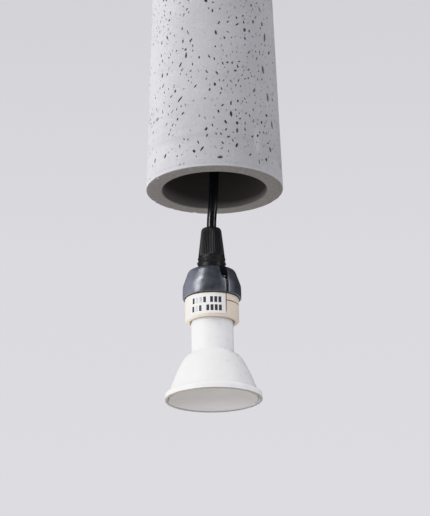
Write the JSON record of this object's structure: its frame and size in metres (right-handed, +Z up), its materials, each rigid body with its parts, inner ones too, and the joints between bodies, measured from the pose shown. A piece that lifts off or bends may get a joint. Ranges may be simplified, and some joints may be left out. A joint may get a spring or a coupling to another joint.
{
  "type": "pendant ceiling light",
  "caption": "Pendant light: a slender pitted concrete tube shade on a black cable from a ceiling canopy, with a lampholder and reflector bulb hanging below its open rim.",
  "frame": {"origin": "middle of the bracket's top face, which meets the ceiling", "axes": "+Z up into the ceiling, the lamp hangs along -Z; the front, with the rating sticker, faces -Y"},
  "size_m": [0.0954, 0.09, 0.6102],
  "materials": {
    "concrete": "raw cast, pitted, matt",
    "black_metal": "black powder coat, satin",
    "zinc_steel": "zinc plated",
    "brass": "plain",
    "black_plastic": "moulded, satin",
    "cap_plastic": "moulded blue-black phenolic, satin",
    "cable_sheath": "glossy extruded PVC",
    "brown_core": "insulation",
    "blue_core": "insulation",
    "grey_rubber": "matt",
    "cream_plastic": "moulded cream, satin",
    "steatite": "unglazed technical ceramic",
    "label_paper": "white sticker",
    "bulb_white": "white, semi-gloss",
    "lens_frosted": "frosted diffuser",
    "aluminium": "plain pressed",
    "circuit_board": "green solder mask",
    "board_white": "white, matt",
    "led_phosphor": "yellow phosphor",
    "component_black": "moulded"
  },
  "bodies": {
    "ceiling_mount": {"ceiling_bracket": "zinc_steel", "canopy_cup": "black_metal", "canopy_screw_left": "black_metal", "canopy_screw_right": "black_metal", "terminal_block": "board_white", "terminal_clamp_live": "brass", "terminal_clamp_neutral": "brass", "terminal_screw_live": "zinc_steel", "terminal_screw_neutral": "zinc_steel", "wire_top_live": "brown_core", "wire_top_neutral": "blue_core", "canopy_grip_body": "black_plastic", "canopy_grip_nut": "zinc_steel", "canopy_grip_screw": "black_plastic", "cable_anchor_section": "cable_sheath"},
    "cable_bend": {"cable_bend_section": "cable_sheath"},
    "pendant": {"cable_main": "cable_sheath", "grip_nut": "black_plastic", "grip_collet": "black_plastic", "lampholder_cap": "cap_plastic", "cap_screw_front": "zinc_steel", "cap_screw_rear": "zinc_steel", "socket_ring_upper": "cream_plastic", "socket_shell_lower": "cream_plastic", "ceramic_core": "steatite", "contact_live": "brass", "contact_neutral": "brass", "wire_holder_live": "brown_core", "wire_holder_neutral": "blue_core", "rating_label": "label_paper"},
    "shade": {"concrete_shade": "concrete", "shade_nipple": "zinc_steel", "top_rubber_washer": "grey_rubber", "top_steel_washer": "black_metal", "inner_washer": "zinc_steel", "inner_nut": "zinc_steel", "lock_body": "black_metal", "lock_collet": "black_plastic"},
    "lock_nut": {"lock_nut": "black_metal"},
    "bulb": {"bulb_housing": "bulb_white", "bulb_base": "bulb_white", "bulb_lens": "lens_frosted", "heat_spreader": "aluminium", "led_board": "board_white", "led_1": "led_phosphor", "led_2": "led_phosphor", "led_3": "led_phosphor", "led_4": "led_phosphor", "led_5": "led_phosphor", "led_6": "led_phosphor", "driver_board": "circuit_board", "driver_capacitor": "component_black", "driver_choke": "component_black", "pin_live": "brass", "pin_neutral": "brass"}
  },
  "joints": [
    {"name": "swing_front_back", "type": "hinge", "parent": "ceiling_mount", "child": "cable_bend", "pos_m": [0, 0, -0.06], "axis": [1, 0, 0], "range_deg": [-25, 25]},
    {"name": "swing_side", "type": "hinge", "parent": "cable_bend", "child": "pendant", "pos_m": [0, 0, -0.08], "axis": [0, 1, 0], "range_deg": [-25, 25]},
    {"name": "shade_slide", "type": "slide", "parent": "pendant", "child": "shade", "axis": [0, 0, -1], "range_m": [-0.08, 0.125]},
    {"name": "lock_turn", "type": "hinge", "parent": "shade", "child": "lock_nut", "pos_m": [0, 0, -0.17], "axis": [0, 0, 1], "range_deg": [0, 180]},
    {"name": "bulb_twist", "type": "hinge", "parent": "pendant", "child": "bulb", "pos_m": [-0.002, 0, -0.569], "axis": [0.0087, 0, -1], "range_deg": [0, 25]}
  ]
}
